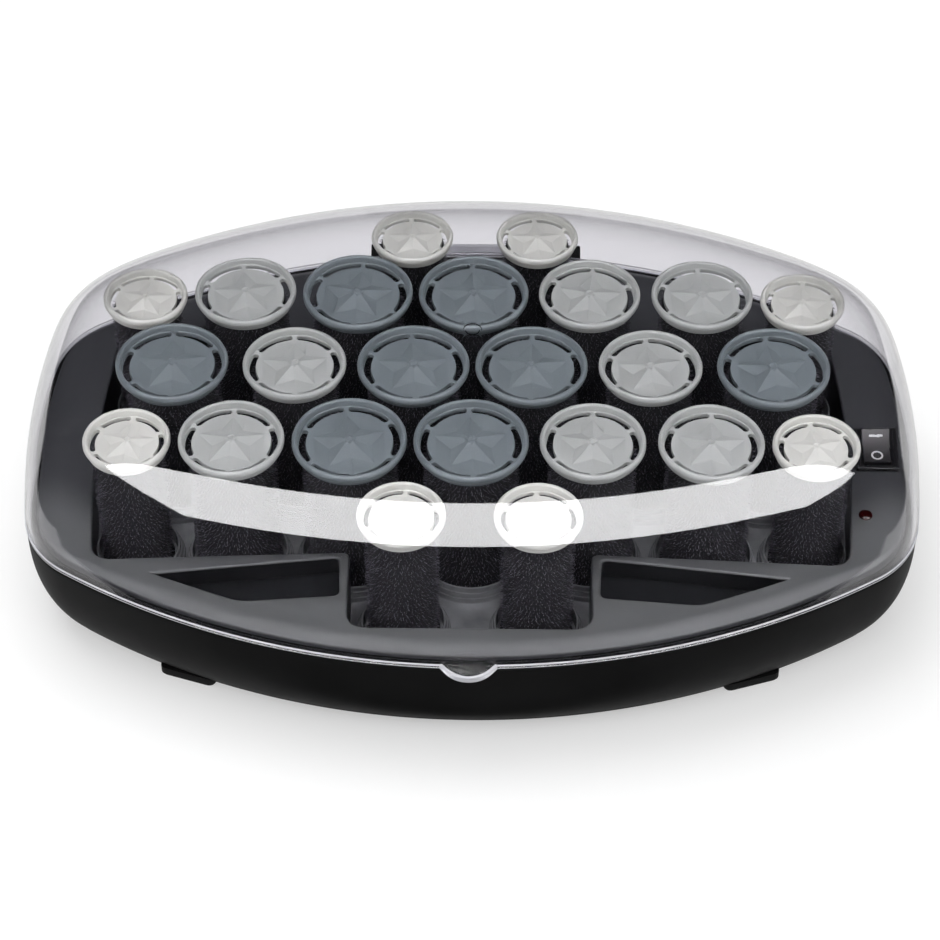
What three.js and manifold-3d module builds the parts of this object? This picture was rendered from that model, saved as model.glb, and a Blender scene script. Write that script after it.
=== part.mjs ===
// A heated roller set: a base with a heated well, flocked rollers on posts, and a hinged clear lid.
// Millimetres, +Z up, origin under the middle of the base, front towards -Y.
import * as THREE from "three";
import { mergeVertices } from "three/addons/utils/BufferGeometryUtils.js";
import Module from "manifold-3d";

const wasm = await Module();
wasm.setup();

const GAP = 0.3; // between pieces that touch on the real object

// Plan outline at the rim: long front and back arcs, flatter side arcs, and a corner arc between.
const HALF_WIDTH = 170;
const HALF_DEPTH = 112.3;
const FRONT_ARC = 275;
const SIDE_ARC = 290;
const CORNER_ARC = 38;
const CORNER_ARC_LEAST = 4;
const ARC_STEPS = { side: 2, corner: 4, front: 5 };

// Heights.
const FOOT_HEIGHT = 3;
const RIM_Z = 43;
const DECK_Z = 48;
const PLATE_Z = 22.7;
const ROLLER_TOP_Z = 88;

// Base shell.
const SHELL_FLOOR = 2.5;
const LEDGE = 7.5;
const LEDGE_THICKNESS = 3;
const SHELL_OUTSIDE = [ // height, inset from the plan outline
  [RIM_Z, 0],
  [30, 1.2],
  [20, 3.2],
  [12, 6.5],
  [6, 11],
  [FOOT_HEIGHT, 16],
];
const SHELL_INSIDE = [
  [FOOT_HEIGHT + SHELL_FLOOR, 16],
  [12, 9.4],
  [22, 5.6],
  [RIM_Z - LEDGE_THICKNESS, 3.2],
];
const FOOT = { width: 22, depth: 15, x: 101, y: 69, turn: 0.32 };
const BOSS = { radius: 4, x: [-122, 0, 122], y: 46 };

// Deck: a plate with a skirt, the walls of the well and two clip pockets.
const DECK_INSET = 4.6;
const DECK_WALL = 2.3;
const WELL = { xMiddle: 145, xEnd: 139.5, yMiddle: 59.6, yEnd: 64, corner: 8, sideCurve: 30 };
const NOTCH = { x: 44.5, y: 96.3, corner: 8, inner: 3 };
const POCKET_DEPTH = 9.5;
const POCKET_CORNERS = [ // x and y on the right side, and the corner's radius
  [48.3, -62.2, 3],
  [118, -71.2, 2],
  [83.5, -84.2, 4],
  [47.4, -81, 3],
];

// Lid: a wall that rounds over a wide shoulder into a slightly crowned top.
const LID_WALL = 1.5;
const LID_HEIGHT = 60.5;
const LID_CROWN = 1.4;
const LID_SHOULDER = 55;
const SHOULDER_STEPS = 6;
const TAB = { halfWidth: 9.5, reach: 116.4, thickness: 2.4 };

// Lid hinge at the back.
const HINGE = { y: 116.2, z: 42.4, radius: 3.2, pin: 1.2, bore: 1.5 };
const EAR = { inner: 14.2, outer: 43 };

// Rollers: radius over the cap for each size, and the places in each row from left to right.
const CAP_RADIUS = { large: 21, medium: 19.4, small: 16 };
const SMALL_DROP = 2;
const BARREL_RATIO = 0.82;
const NECK_RATIO = 0.9;
const BARREL_WALL = 1.5;
const BARREL_FLANGE = 1.4;
const FLANGE_HEIGHT = 1.8;
const CAP = { lip: 4.4, recess: 2.8, disc: 1.6, neck: 2.6 };
const POST_RATIO = 0.6;
const POST_TOP_Z = 66;
const ROUND_SIDES = 12;
const ROW_PITCH = 40.2;
const END_ROW_Y = 75.9;
const CORNER_Y = 39.1;
const WIDE_ROW_X = [-125.9, -87.5, -44.4, 0, 44.4, 87.5, 125.9];
const MIDDLE_ROW_X = [-112.5, -66.6, -22.1, 22.1, 66.6, 112.5];
const END_ROW_X = [-24.5, 24.5];
const WIDE_ROW_SIZES = ["small", "medium", "large", "large", "medium", "medium", "small"];
const MIDDLE_ROW_SIZES = ["large", "medium", "large", "large", "medium", "large"];

// Heater parts under the plate.
const PLATE_THICKNESS = 2.7;
const PLATE_MARGIN = 4.5;
const ELEMENT = { x: 110, y: 42, width: 9, height: 3.2 };
const THERMOSTAT = { radius: 12, height: 9 };
const TERMINAL = { x: 60, width: 26, depth: 14, height: 10 };

// Rocker switch, indicator lens and cord gland.
const SWITCH = { x: 154.5, y: -4, width: 17, depth: 22, bezel: 1.6, body: [13, 18.6], bottom: 33 };
const ROCKER = { width: 10.6, halfLength: 7.7, pocket: [11.2, 16.8, 40], z: 49.4, tilt: 8 };
const LENS = { x: 147.2, y: -38.5, radius: 2, dome: 2.6 };
const GLAND = { x: 60, z: 22, hole: 5.4 };

const black = new THREE.MeshStandardMaterial({ color: 0x1a1a1b, roughness: 0.55 });
const deckGrey = new THREE.MeshStandardMaterial({ color: 0x45474a, roughness: 0.5 });
const clear = new THREE.MeshStandardMaterial({
  color: 0xe9e8f0,
  roughness: 0.05,
  transparent: true,
  opacity: 0.25,
});
const steel = new THREE.MeshStandardMaterial({ color: 0xb4b4b4, roughness: 0.35, metalness: 1 });
const heaterMetal = new THREE.MeshStandardMaterial({ color: 0x2b2d30, roughness: 0.3, metalness: 0.6 });
const flock = new THREE.MeshStandardMaterial({ color: 0x121214, roughness: 1 });
const redLens = new THREE.MeshStandardMaterial({ color: 0x5a0f12, roughness: 0.2 });
const rubber = new THREE.MeshStandardMaterial({ color: 0x141414, roughness: 0.8 });
const CAP_MATERIALS = {
  large: new THREE.MeshStandardMaterial({ color: 0x6b757d, roughness: 0.4 }),
  medium: new THREE.MeshStandardMaterial({ color: 0xb8bab9, roughness: 0.4 }),
  small: new THREE.MeshStandardMaterial({ color: 0xd0d0cb, roughness: 0.4 }),
};

// A closed geometry as a manifold solid with its faces pointing out.
function solid(geometry) {
  const bare = geometry.clone();
  bare.deleteAttribute("normal");
  bare.deleteAttribute("uv");
  const merged = mergeVertices(bare, 1e-4);
  const triVerts = new Uint32Array(merged.index.array);
  const vertProperties = merged.attributes.position.array;
  const made = new wasm.Manifold(new wasm.Mesh({ numProp: 3, vertProperties, triVerts }));
  if (made.volume() > 0) return made;
  return new wasm.Manifold(
    new wasm.Mesh({ numProp: 3, vertProperties, triVerts: triVerts.slice().reverse() }),
  );
}

function mesh(name, body, material) {
  const data = body.getMesh();
  const geometry = new THREE.BufferGeometry();
  geometry.setAttribute("position", new THREE.BufferAttribute(data.vertProperties, 3));
  geometry.setIndex(new THREE.BufferAttribute(data.triVerts, 1));
  geometry.computeVertexNormals();
  const made = new THREE.Mesh(geometry, material);
  made.name = name;
  return made;
}

function box(width, depth, low, high, x = 0, y = 0, turn = 0) {
  const geometry = new THREE.BoxGeometry(width, depth, high - low);
  geometry.rotateZ(turn);
  geometry.translate(x, y, (low + high) / 2);
  return solid(geometry);
}

function cylinder(radius, low, high, x, y, sides = ROUND_SIDES) {
  const geometry = new THREE.CylinderGeometry(radius, radius, high - low, sides);
  geometry.rotateX(Math.PI / 2);
  geometry.translate(x, y, (low + high) / 2);
  return solid(geometry);
}

// A cylinder along X on the hinge's axis.
function hingeCylinder(radius, from, to) {
  const geometry = new THREE.CylinderGeometry(radius, radius, to - from, ROUND_SIDES);
  geometry.rotateZ(Math.PI / 2);
  geometry.translate((from + to) / 2, HINGE.y, HINGE.z);
  return solid(geometry);
}

// A profile of radius and height turned about the Z axis.
function turned(profile, sides = ROUND_SIDES) {
  const points = profile.map(([radius, z]) => new THREE.Vector2(radius, z));
  const geometry = new THREE.LatheGeometry(points, sides);
  geometry.rotateX(Math.PI / 2);
  return geometry;
}

// A shape with rounded corners, extruded between two heights.
function plate(corners, low, high) {
  const shape = new THREE.Shape();
  corners.forEach(([x, y, radius], i) => {
    const before = corners.at(i - 1);
    const after = corners[(i + 1) % corners.length];
    const [start, end] = [before, after].map(([nx, ny]) => {
      const share = radius / Math.hypot(nx - x, ny - y);
      return [x + (nx - x) * share, y + (ny - y) * share];
    });
    if (i === 0) shape.moveTo(...start);
    else shape.lineTo(...start);
    shape.quadraticCurveTo(x, y, ...end);
  });
  shape.closePath();
  const geometry = new THREE.ExtrudeGeometry(shape, {
    depth: high - low,
    bevelEnabled: false,
    curveSegments: 3,
  });
  geometry.translate(0, 0, low);
  return solid(geometry);
}

function arcPoints(center, radius, from, to, steps) {
  const points = [];
  for (let i = 0; i < steps; i++) {
    const angle = from + ((to - from) * i) / steps;
    points.push([center[0] + radius * Math.cos(angle), center[1] + radius * Math.sin(angle)]);
  }
  return points;
}

// The plan outline moved inwards, with the same number of points at every inset.
function planOutline(inset) {
  const sideCenter = [HALF_WIDTH - SIDE_ARC, 0];
  const frontCenter = [0, HALF_DEPTH - FRONT_ARC];
  const shrink = Math.exp(-inset / (CORNER_ARC - CORNER_ARC_LEAST));
  const corner = CORNER_ARC_LEAST + (CORNER_ARC - CORNER_ARC_LEAST) * shrink;
  const sideReach = SIDE_ARC - inset - corner;
  const frontReach = FRONT_ARC - inset - corner;
  const span = Math.hypot(sideCenter[0], frontCenter[1]);
  const along = (sideReach ** 2 - frontReach ** 2 + span ** 2) / (2 * span);
  const across = Math.sqrt(sideReach ** 2 - along ** 2);
  const ux = -sideCenter[0] / span;
  const uy = frontCenter[1] / span;
  const center = [
    sideCenter[0] + ux * along - uy * across,
    uy * along + ux * across,
  ];
  const low = Math.atan2(center[1], center[0] - sideCenter[0]);
  const high = Math.atan2(center[1] - frontCenter[1], center[0]);
  const quarter = [
    ...arcPoints(sideCenter, SIDE_ARC - inset, 0, low, ARC_STEPS.side),
    ...arcPoints(center, corner, low, high, ARC_STEPS.corner),
    ...arcPoints(frontCenter, FRONT_ARC - inset, high, Math.PI / 2, ARC_STEPS.front),
  ];
  const top = [0, HALF_DEPTH - inset];
  const half = [...quarter, top, ...quarter.slice(1).reverse().map(([x, y]) => [-x, y])];
  const other = half.map(([x, y]) => [-x, -y]);
  return [...half, ...other];
}

// A closed body through plan outlines at [height, inset], with flat or pointed ends.
function loft(levels, firstApex, lastApex) {
  const rings = levels.map(([z, inset]) => planOutline(inset).map(([x, y]) => [x, y, z]));
  const count = rings[0].length;
  const vertices = [...rings.flat(), [0, 0, firstApex], [0, 0, lastApex]];
  const first = rings.length * count;
  const index = [];
  for (let i = 0; i < count; i++) {
    const next = (i + 1) % count;
    for (let r = 0; r + 1 < rings.length; r++) {
      const a = r * count;
      const b = a + count;
      index.push(a + i, a + next, b + next, a + i, b + next, b + i);
    }
    index.push(first, next, i);
    index.push(first + 1, first - count + i, first - count + next);
  }
  const geometry = new THREE.BufferGeometry();
  geometry.setAttribute("position", new THREE.Float32BufferAttribute(vertices.flat(), 3));
  geometry.setIndex(index);
  return solid(geometry);
}

function mirrored(corners) {
  return corners.map(([x, y, radius]) => [-x, y, radius]).reverse();
}

// The well's outline, moved outwards by grow, with a notch at the front and one at the back.
function wellCorners(grow) {
  const outer = WELL.corner + grow;
  const notch = NOTCH.corner + grow;
  const inner = Math.max(NOTCH.inner - grow, 0.5);
  const back = [
    [WELL.xMiddle + grow, 0, WELL.sideCurve],
    [WELL.xEnd + grow, WELL.yEnd + grow, outer],
    [NOTCH.x + grow, WELL.yMiddle + grow, inner],
    [NOTCH.x + grow, NOTCH.y + grow, notch],
  ];
  const half = [...back, ...mirrored(back).slice(0, -1)];
  return [...half, ...half.map(([x, y, radius]) => [-x, -y, radius])];
}

function pocketCorners(side, grow) {
  const middleX = 83;
  const middleY = -73;
  const corners = POCKET_CORNERS.map(([x, y, radius]) => [
    side * (x + Math.sign(x - middleX) * grow),
    y + Math.sign(y - middleY) * grow,
    radius,
  ]);
  return side > 0 ? corners : corners.reverse();
}

function baseShell() {
  const levels = [
    ...SHELL_INSIDE,
    [RIM_Z - LEDGE_THICKNESS, LEDGE],
    [RIM_Z, LEDGE],
    ...SHELL_OUTSIDE,
  ];
  let shell = loft(levels, FOOT_HEIGHT + SHELL_FLOOR, FOOT_HEIGHT);
  for (const sx of [-1, 1])
    for (const sy of [-1, 1])
      shell = shell.add(
        box(FOOT.width, FOOT.depth, 0, FOOT_HEIGHT + 1, sx * FOOT.x, sy * FOOT.y, -sx * sy * FOOT.turn),
      );
  const bossTop = PLATE_Z - PLATE_THICKNESS - GAP;
  for (const x of BOSS.x)
    for (const sy of [-1, 1])
      shell = shell.add(cylinder(BOSS.radius, FOOT_HEIGHT + 1, bossTop, x, sy * BOSS.y, 8));
  for (const side of [-1, 1]) {
    const middle = (side * (EAR.inner + EAR.outer)) / 2;
    const arm = box(EAR.outer - EAR.inner, 10, HINGE.z - 4.6, HINGE.z, middle, HINGE.y - 5);
    const ends = [side * EAR.inner, side * EAR.outer].sort((a, b) => a - b);
    shell = shell.add(arm).add(hingeCylinder(HINGE.radius, ...ends));
  }
  shell = shell.subtract(hingeCylinder(HINGE.bore, -EAR.outer - 1, EAR.outer + 1));
  const hole = new THREE.CylinderGeometry(GLAND.hole, GLAND.hole, 30, ROUND_SIDES);
  hole.translate(GLAND.x, HALF_DEPTH - 12, GLAND.z);
  return shell.subtract(solid(hole));
}

function deck() {
  const low = RIM_Z + GAP;
  const under = DECK_Z - DECK_WALL;
  const pocketFloor = DECK_Z - POCKET_DEPTH;
  let body = loft([[low, DECK_INSET], [DECK_Z, DECK_INSET]], low, DECK_Z);
  const hollow = [[low - 1, DECK_INSET + DECK_WALL], [under, DECK_INSET + DECK_WALL]];
  body = body.subtract(loft(hollow, low - 1, under));
  body = body.add(plate(wellCorners(DECK_WALL), PLATE_Z + GAP, DECK_Z - 1));
  for (const side of [-1, 1])
    body = body.add(plate(pocketCorners(side, DECK_WALL), pocketFloor - DECK_WALL, DECK_Z - 1));
  body = body.subtract(plate(wellCorners(0), 0, DECK_Z + 1));
  for (const side of [-1, 1])
    body = body.subtract(plate(pocketCorners(side, 0), pocketFloor, DECK_Z + 1));
  const [width, depth] = SWITCH.body;
  body = body.subtract(
    box(width + 2 * GAP, depth + 2 * GAP, low - 1, DECK_Z + 1, SWITCH.x, SWITCH.y),
  );
  return body.subtract(cylinder(LENS.radius + GAP, low - 1, DECK_Z + 1, LENS.x, LENS.y));
}

// Heights and insets of the lid's surface, from the rim to the edge of the crown.
function lidLevels(wall) {
  const base = RIM_Z + GAP;
  const levels = [];
  for (let i = 0; i <= SHOULDER_STEPS; i++) {
    const angle = ((Math.PI / 2) * i) / SHOULDER_STEPS;
    levels.push([
      base + (LID_HEIGHT - wall) * Math.sin(angle),
      wall + (LID_SHOULDER - wall) * (1 - Math.cos(angle)),
    ]);
  }
  return levels;
}

function lid() {
  const base = RIM_Z + GAP;
  const levels = [...lidLevels(LID_WALL).reverse(), ...lidLevels(0)];
  const top = base + LID_HEIGHT + LID_CROWN;
  let body = loft(levels, top - LID_WALL, top);
  const tab = plate(
    [
      [-TAB.halfWidth - 3, 1 - HALF_DEPTH, 1],
      [-TAB.halfWidth + 3, -TAB.reach, 4],
      [TAB.halfWidth - 3, -TAB.reach, 4],
      [TAB.halfWidth + 3, 1 - HALF_DEPTH, 1],
    ],
    base,
    base + TAB.thickness,
  );
  const half = EAR.inner - 2 * GAP;
  const armDepth = HINGE.y - HALF_DEPTH + 1;
  const armY = (HINGE.y + HALF_DEPTH - 1) / 2;
  const arm = box(2 * half, armDepth, base, HINGE.z + HINGE.radius, 0, armY);
  body = body.add(tab).add(arm).add(hingeCylinder(HINGE.radius, -half, half));
  return body.subtract(hingeCylinder(HINGE.bore, -half - 1, half + 1));
}

// The size, place and height of every roller, from the back row to the front row.
function rollerPlaces() {
  const wide = (y) =>
    WIDE_ROW_X.map((x, i) => {
      const size = WIDE_ROW_SIZES[i];
      return { x, y: Math.sign(y) * (size === "small" ? CORNER_Y : ROW_PITCH), size };
    });
  return [
    ...END_ROW_X.map((x) => ({ x, y: END_ROW_Y, size: "small" })),
    ...wide(1),
    ...MIDDLE_ROW_X.map((x, i) => ({ x, y: 0, size: MIDDLE_ROW_SIZES[i] })),
    ...wide(-1),
    ...END_ROW_X.map((x) => ({ x, y: -END_ROW_Y, size: "small" })),
  ];
}

const rollerTop = (size) => ROLLER_TOP_Z - (size === "small" ? SMALL_DROP : 0);

// A recessed disc in a raised lip, with a neck that fits over the barrel.
function rollerCap({ x, y, size }) {
  const radius = CAP_RADIUS[size];
  const top = rollerTop(size);
  const disc = top - CAP.recess - CAP.disc;
  const bore = radius * BARREL_RATIO + GAP;
  const geometry = turned([
    [0, top - CAP.recess],
    [radius * 0.84, top - CAP.recess],
    [radius * 0.89, top],
    [radius, top],
    [radius, top - CAP.lip],
    [radius * NECK_RATIO, top - CAP.lip],
    [radius * NECK_RATIO, top - CAP.lip - CAP.neck],
    [bore, top - CAP.lip - CAP.neck],
    [bore, disc],
    [0, disc],
  ]);
  geometry.translate(x, y, 0);
  return solid(geometry);
}

// A hollow barrel with a flange at its foot.
function rollerBarrel({ x, y, size }) {
  const radius = CAP_RADIUS[size] * BARREL_RATIO;
  const top = rollerTop(size) - CAP.recess - CAP.disc - GAP;
  const low = PLATE_Z + GAP;
  const inner = radius - BARREL_WALL;
  const geometry = turned([
    [inner, low],
    [radius + BARREL_FLANGE, low],
    [radius + BARREL_FLANGE, low + FLANGE_HEIGHT],
    [radius, low + FLANGE_HEIGHT],
    [radius, top],
    [inner, top],
    [inner, low],
  ]);
  geometry.translate(x, y, 0);
  return solid(geometry);
}

function heaterPlate(places) {
  let body = plate(wellCorners(PLATE_MARGIN), PLATE_Z - PLATE_THICKNESS, PLATE_Z);
  for (const { x, y, size } of places)
    body = body.add(cylinder(CAP_RADIUS[size] * POST_RATIO, PLATE_Z - 1, POST_TOP_Z, x, y, 8));
  return body;
}

// A flat ring under the heater plate.
function heatingElement() {
  const high = PLATE_Z - PLATE_THICKNESS - GAP;
  const low = high - ELEMENT.height;
  const ring = (x, y, from, to) =>
    plate([[x, y, 18], [-x, y, 18], [-x, -y, 18], [x, -y, 18]], from, to);
  const inner = ring(ELEMENT.x - ELEMENT.width, ELEMENT.y - ELEMENT.width, low - 1, high + 1);
  return ring(ELEMENT.x, ELEMENT.y, low, high).subtract(inner);
}

function thermostat() {
  const high = PLATE_Z - PLATE_THICKNESS - GAP;
  const low = high - THERMOSTAT.height;
  const body = cylinder(THERMOSTAT.radius, low + 4, high, 0, 0);
  return body.add(cylinder(THERMOSTAT.radius - 4, low, low + 5, 0, 0));
}

function terminalBlock() {
  const low = FOOT_HEIGHT + SHELL_FLOOR + GAP;
  const high = low + TERMINAL.height;
  let body = box(TERMINAL.width, TERMINAL.depth, low, high, TERMINAL.x);
  for (const x of [-8, 0, 8]) body = body.subtract(box(5, 20, high - 4, high + 1, TERMINAL.x + x));
  return body;
}

function switchHousing() {
  const [width, depth] = SWITCH.body;
  const bezelLow = DECK_Z + GAP;
  const [pocketWidth, pocketDepth, pocketLow] = ROCKER.pocket;
  const body = box(width, depth, SWITCH.bottom, bezelLow + 1, SWITCH.x, SWITCH.y);
  const high = bezelLow + SWITCH.bezel;
  const bezel = box(SWITCH.width, SWITCH.depth, bezelLow, high, SWITCH.x, SWITCH.y);
  const pocket = box(pocketWidth, pocketDepth, pocketLow, high + 1, SWITCH.x, SWITCH.y);
  return body.add(bezel).subtract(pocket);
}

// A rocker with two faces that meet over its axis, tilted with its front side pressed.
function switchRocker() {
  const shape = new THREE.Shape();
  shape.moveTo(-ROCKER.halfLength, 2.1);
  shape.lineTo(0, 0.9);
  shape.lineTo(ROCKER.halfLength, 2.1);
  shape.lineTo(ROCKER.halfLength, 0.4);
  shape.lineTo(4, -6);
  shape.lineTo(-4, -6);
  shape.lineTo(-ROCKER.halfLength, 0.4);
  shape.closePath();
  const geometry = new THREE.ExtrudeGeometry(shape, { depth: ROCKER.width, bevelEnabled: false });
  geometry.translate(0, 0, -ROCKER.width / 2);
  // The shape's axes become Y and Z, and the extrusion runs along X.
  geometry.rotateY(Math.PI / 2);
  geometry.rotateX(Math.PI / 2);
  geometry.rotateX(THREE.MathUtils.degToRad(ROCKER.tilt));
  geometry.translate(SWITCH.x, SWITCH.y, ROCKER.z);
  return solid(geometry);
}

function indicatorLens() {
  const geometry = turned([
    [0, DECK_Z - 4],
    [LENS.radius, DECK_Z - 4],
    [LENS.radius, DECK_Z + GAP],
    [LENS.dome, DECK_Z + GAP],
    [LENS.dome - 0.8, DECK_Z + 1.4],
    [0, DECK_Z + 1.7],
  ]);
  geometry.translate(LENS.x, LENS.y, 0);
  return solid(geometry);
}

// A stepped sleeve through the back wall, open along its middle for the cord.
function cordGland() {
  const profile = [
    [2.6, 92],
    [5, 92],
    [5, 105.6],
    [7.4, 105.6],
    [7.4, 108],
    [4.7, 108.4],
    [3.8, 117],
    [2.6, 117],
    [2.6, 92],
  ];
  const points = profile.map(([radius, y]) => new THREE.Vector2(radius, y));
  const geometry = new THREE.LatheGeometry(points, ROUND_SIDES);
  geometry.translate(GLAND.x, 0, GLAND.z);
  return solid(geometry);
}

function hingePin() {
  return hingeCylinder(HINGE.pin, -EAR.outer + 0.5, EAR.outer - 0.5);
}

const places = rollerPlaces();
const rollerSet = new THREE.Group();
rollerSet.add(
  mesh("base_shell", baseShell(), black),
  mesh("deck", deck(), deckGrey),
  mesh("lid", lid(), clear),
  mesh("lid_hinge_pin", hingePin(), steel),
  mesh("heater_plate", heaterPlate(places), heaterMetal),
  mesh("heating_element", heatingElement(), steel),
  mesh("thermostat", thermostat(), steel),
  mesh("terminal_block", terminalBlock(), rubber),
  mesh("switch_housing", switchHousing(), black),
  mesh("switch_rocker", switchRocker(), black),
  mesh("indicator_lens", indicatorLens(), redLens),
  mesh("cord_gland", cordGland(), rubber),
);
places.forEach((place, i) => {
  const number = String(i + 1).padStart(2, "0");
  rollerSet.add(
    mesh(`roller_cap_${number}`, rollerCap(place), CAP_MATERIALS[place.size]),
    mesh(`roller_barrel_${number}`, rollerBarrel(place), flock),
  );
});

export default rollerSet;
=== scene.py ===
"""Looks of the heated roller set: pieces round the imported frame, a pale floor, soft light and the camera.

Shapes are worked out in millimetres and made into meshes in metres by make_object. Places and sizes come from
the frame's boxes; what the boxes can't say, such as arc radii and wall thicknesses, is named below.
"""
import math
import random

import bmesh
import bpy
import numpy as np
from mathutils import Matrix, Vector
from mathutils.geometry import tessellate_polygon


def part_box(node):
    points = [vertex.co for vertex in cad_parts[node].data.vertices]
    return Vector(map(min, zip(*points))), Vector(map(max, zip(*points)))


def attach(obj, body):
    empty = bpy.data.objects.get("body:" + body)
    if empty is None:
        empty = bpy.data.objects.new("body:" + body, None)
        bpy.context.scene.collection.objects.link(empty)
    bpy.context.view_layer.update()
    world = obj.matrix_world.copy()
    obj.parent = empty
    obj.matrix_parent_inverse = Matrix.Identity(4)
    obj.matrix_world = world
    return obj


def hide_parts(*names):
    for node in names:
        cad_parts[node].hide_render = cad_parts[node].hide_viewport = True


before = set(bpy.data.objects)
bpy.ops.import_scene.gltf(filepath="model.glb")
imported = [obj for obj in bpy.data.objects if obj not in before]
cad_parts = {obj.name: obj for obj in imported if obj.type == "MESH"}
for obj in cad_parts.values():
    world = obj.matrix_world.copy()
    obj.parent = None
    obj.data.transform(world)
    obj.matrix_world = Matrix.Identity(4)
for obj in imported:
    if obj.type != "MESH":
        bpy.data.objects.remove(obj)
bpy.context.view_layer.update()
MM = 0.001


def low(node):
    """A node's lowest corner in millimetres."""
    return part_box(node)[0] / MM


def high(node):
    """A node's highest corner in millimetres."""
    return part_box(node)[1] / MM


def middle(node):
    return (low(node) + high(node)) / 2


# --- Sizes from the frame, in millimetres ---
GAP = 0.3
HALF_WIDTH = high("base_shell").x
HALF_DEPTH = -low("base_shell").y
FOOT_HEIGHT = 3.0
LID_TOP = high("lid").z
DECK_Z = high("deck").z
PLATE_Z = low("roller_barrel_01").z - GAP
PLATE_LOW = low("heater_plate").z
POST_TOP = high("heater_plate").z
HINGE_Y = middle("lid_hinge_pin").y
HINGE_Z = middle("lid_hinge_pin").z
SWITCH = middle("switch_housing")
LENS = middle("indicator_lens")
GLAND = middle("cord_gland")
ROLLERS = [f"{i:02d}" for i in range(1, 25)]

# --- Sizes that the boxes don't give ---
FRONT_ARC, SIDE_ARC, CORNER_ARC, CORNER_LEAST = 275.0, 290.0, 38.0, 4.0
ARC_STEPS = (16, 20, 34)  # side, corner and front arc in each quarter of the outline
LID_WALL, LID_SHOULDER, LID_RISE, LID_CROWN, LID_SOFTNESS = 1.5, 55.0, 60.5, 1.4, 14.0
RIM_Z = LID_TOP - LID_RISE - LID_CROWN - GAP
DECK_INSET, DECK_WALL, DECK_EDGE, DECK_FALL = 4.6, 1.2, 0.9, 2.3
POCKET_DEPTH = 9.5
WELL = {"x_middle": 145.0, "x_end": 139.5, "y_middle": 59.6, "y_end": 64.0, "corner": 8.0, "side": 30.0}
NOTCH = {"x": 44.5, "y": 96.3, "corner": 8.0, "inner": 3.0}
POCKET = [(48.3, -62.2, 3.0), (118.0, -71.2, 2.0), (83.5, -84.2, 4.0), (47.4, -81.0, 3.0)]
HINGE_RADIUS, HINGE_BORE = 3.2, 1.5
EAR = (14.2, 43.0)
TAB = {"half_width": 8.2, "reach": -low("lid").y + 2.4, "thickness": 2.4}
BASE_INSET = 10.5  # how far the wall has pulled in at its bottom
FOOT = {"width": 22.0, "depth": 15.0, "x": 104.0, "y": 74.5, "turn": 0.32}
BARREL_RATIO = 0.82
CAP_LIP, CAP_RECESS, CAP_DISC, CAP_FOOT = 3.4, 2.8, 1.6, 5.1
# A roller's stepped seat, as (outwards, up) from where it meets the floor inside.
SEAT_STEPS = [
    *((2.8, 0.0), (2.6, 0.25), (2.55, 1.7), (2.35, 2.0), (1.9, 2.1), (1.8, 2.3), (1.75, 3.8), (1.55, 4.1)),
    *((1.1, 4.2), (1.0, 4.4), (0.95, 5.8), (0.78, 6.15), (0.5, 6.3), (0.2, 6.3), (0.0, 6.0), (0.0, 0.0)),
]
POST_FOOT = ((1.6, 0.0), (0.9, 1.4), (0.0, 3.0))  # (outwards, up) from the post's side and the floor
POST_HEAD = ((0.0, 2.2), (0.7, 0.7), (2.2, 0.0), (4.0, 0.0), (4.6, 0.8))  # (inwards, down) from its top


# --- Mesh code ---
class Body:
    """Vertices and faces of one closed body, built up from rings of points."""

    def __init__(self):
        self.points = []
        self.faces = []
        self.slots = []

    def ring(self, outline, z=None):
        """Adds a ring of points, at height z if they have only x and y, and gives their indices."""
        first = len(self.points)
        for p in outline:
            self.points.append((p[0], p[1], z if z is not None else p[2]))
        return list(range(first, len(self.points)))

    def face(self, indices, slot=0):
        self.faces.append(tuple(indices))
        self.slots.append(slot)

    def bridge(self, a, b, slot=0):
        """Joins two closed rings of the same length."""
        count = len(a)
        for i in range(count):
            j = (i + 1) % count
            self.face((a[i], a[j], b[j], b[i]), slot)

    def skin(self, rings, slot=0):
        for a, b in zip(rings, rings[1:]):
            self.bridge(a, b, slot)

    def close(self, rings, slot=0):
        """Joins rings and fills the first and the last."""
        self.skin(rings, slot)
        self.face(rings[0], slot)
        self.face(rings[-1], slot)

    def fan(self, ring, apex, slot=0):
        tip = self.ring([apex])[0]
        for i, a in enumerate(ring):
            self.face((a, ring[(i + 1) % len(ring)], tip), slot)

    def plate(self, outer, holes=(), slot=0):
        """Fills the flat space inside a ring and outside the holes."""
        loops = [outer, *holes]
        order = [i for loop in loops for i in loop]
        lines = [[Vector(self.points[i]) for i in loop] for loop in loops]
        for triangle in tessellate_polygon(lines):
            self.face([order[i] for i in triangle], slot)

    def turned(self, profile, center=(0, 0), sides=64, slot=0, closed=False):
        """A profile of radius and height turned about an upright axis. A radius of 0 closes that end."""
        rings = []
        for radius, z in profile:
            rings.append(self.ring(circle(center, radius, sides), z) if radius > 0 else (*center, z))
        if closed:
            rings.append(rings[0])
        for a, b in zip(rings, rings[1:]):
            if isinstance(a, tuple):
                self.fan(b, a, slot)
            elif isinstance(b, tuple):
                self.fan(a, b, slot)
            else:
                self.bridge(a, b, slot)
        return rings


def add_object(name, data):
    made = bpy.data.objects.new(name, data)
    bpy.context.scene.collection.objects.link(made)
    return made


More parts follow.
